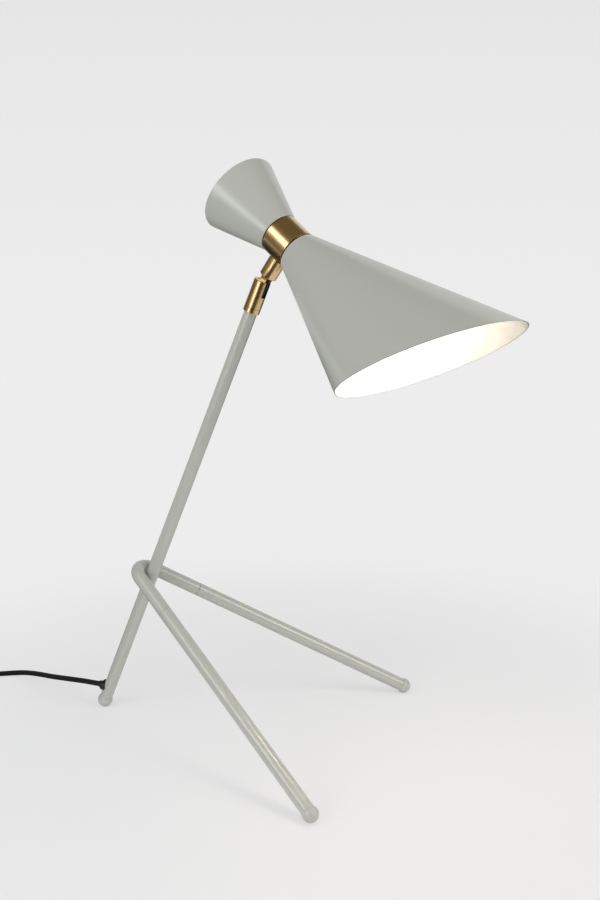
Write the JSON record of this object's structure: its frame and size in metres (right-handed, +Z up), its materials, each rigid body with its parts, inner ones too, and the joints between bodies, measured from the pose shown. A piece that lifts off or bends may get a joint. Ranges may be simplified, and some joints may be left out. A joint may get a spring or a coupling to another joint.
{
  "type": "tripod table lamp",
  "caption": "Tripod table lamp with a leaning stem, a bent leg tube, ball feet and a double-cone shade with a slanted mouth on a swivel and tilt knuckle.",
  "frame": {"origin": "on the floor below the middle of the lamp's box, without its cord", "axes": "+X the way the stem leans and the front feet point, +Y the lamp's left, +Z up"},
  "size_m": [0.6756, 0.2894, 0.535],
  "materials": {
    "paint": "satin",
    "brass": "satin",
    "steel": "satin",
    "black_plastic": "matte",
    "cable": "matte",
    "textile": "matte",
    "bulb_glass": "frosted"
  },
  "bodies": {
    "stand": {"stem_tube": "paint", "rear_foot": "paint", "left_foot": "paint", "right_foot": "paint", "bend_tube": "paint", "left_leg_tube": "paint", "right_leg_tube": "paint", "leg_studs": "steel", "bend_screw": "steel", "saddle_washer": "steel", "bend_plug": "paint", "bend_spacer": "paint", "stem_insert": "steel", "cord_gland": "black_plastic", "stem_lead": "cable", "knuckle_base": "brass", "cord_lead": "textile", "switch_base": "black_plastic", "switch_cover": "black_plastic", "switch_screws": "steel", "rocker_pin": "steel", "cord_tail": "textile", "cord_coil": "textile", "cord_tie": "textile", "plug_lead": "textile", "plug_body": "black_plastic", "plug_pins": "steel"},
    "fork": {"knuckle_fork": "brass", "pivot_screw": "brass", "pivot_washers": "black_plastic", "swivel_screw": "steel", "fork_lead": "cable"},
    "head": {"knuckle_stub": "brass", "stub_nut": "brass", "collar": "brass", "front_ring": "black_plastic", "rear_ring": "black_plastic", "front_cone": "paint", "rear_cone": "paint", "tie_tube": "steel", "front_nut": "steel", "rear_nut": "brass", "holder_cap": "black_plastic", "holder_body": "black_plastic", "holder_thread": "brass", "holder_contact": "brass", "bulb_base": "steel", "bulb_globe": "bulb_glass", "head_lead": "cable"},
    "rocker": {"rocker": "black_plastic"}
  },
  "joints": [
    {"name": "knuckle_swivel", "type": "hinge", "parent": "stand", "child": "fork", "pos_m": [-0.03507, 0, 0.42226], "axis": [0.3795, 0, 0.9252], "range_deg": [-130, 165]},
    {"name": "knuckle_tilt", "type": "hinge", "parent": "fork", "child": "head", "pos_m": [-0.03507, 0, 0.42226], "axis": [0.2905, 0.9494, -0.1191], "range_deg": [-13, 62]},
    {"name": "switch_rocker", "type": "hinge", "parent": "stand", "child": "rocker", "pos_m": [-0.403, 0.012, 0.012], "axis": [0, 1, 0], "range_deg": [-16, 0]}
  ]
}
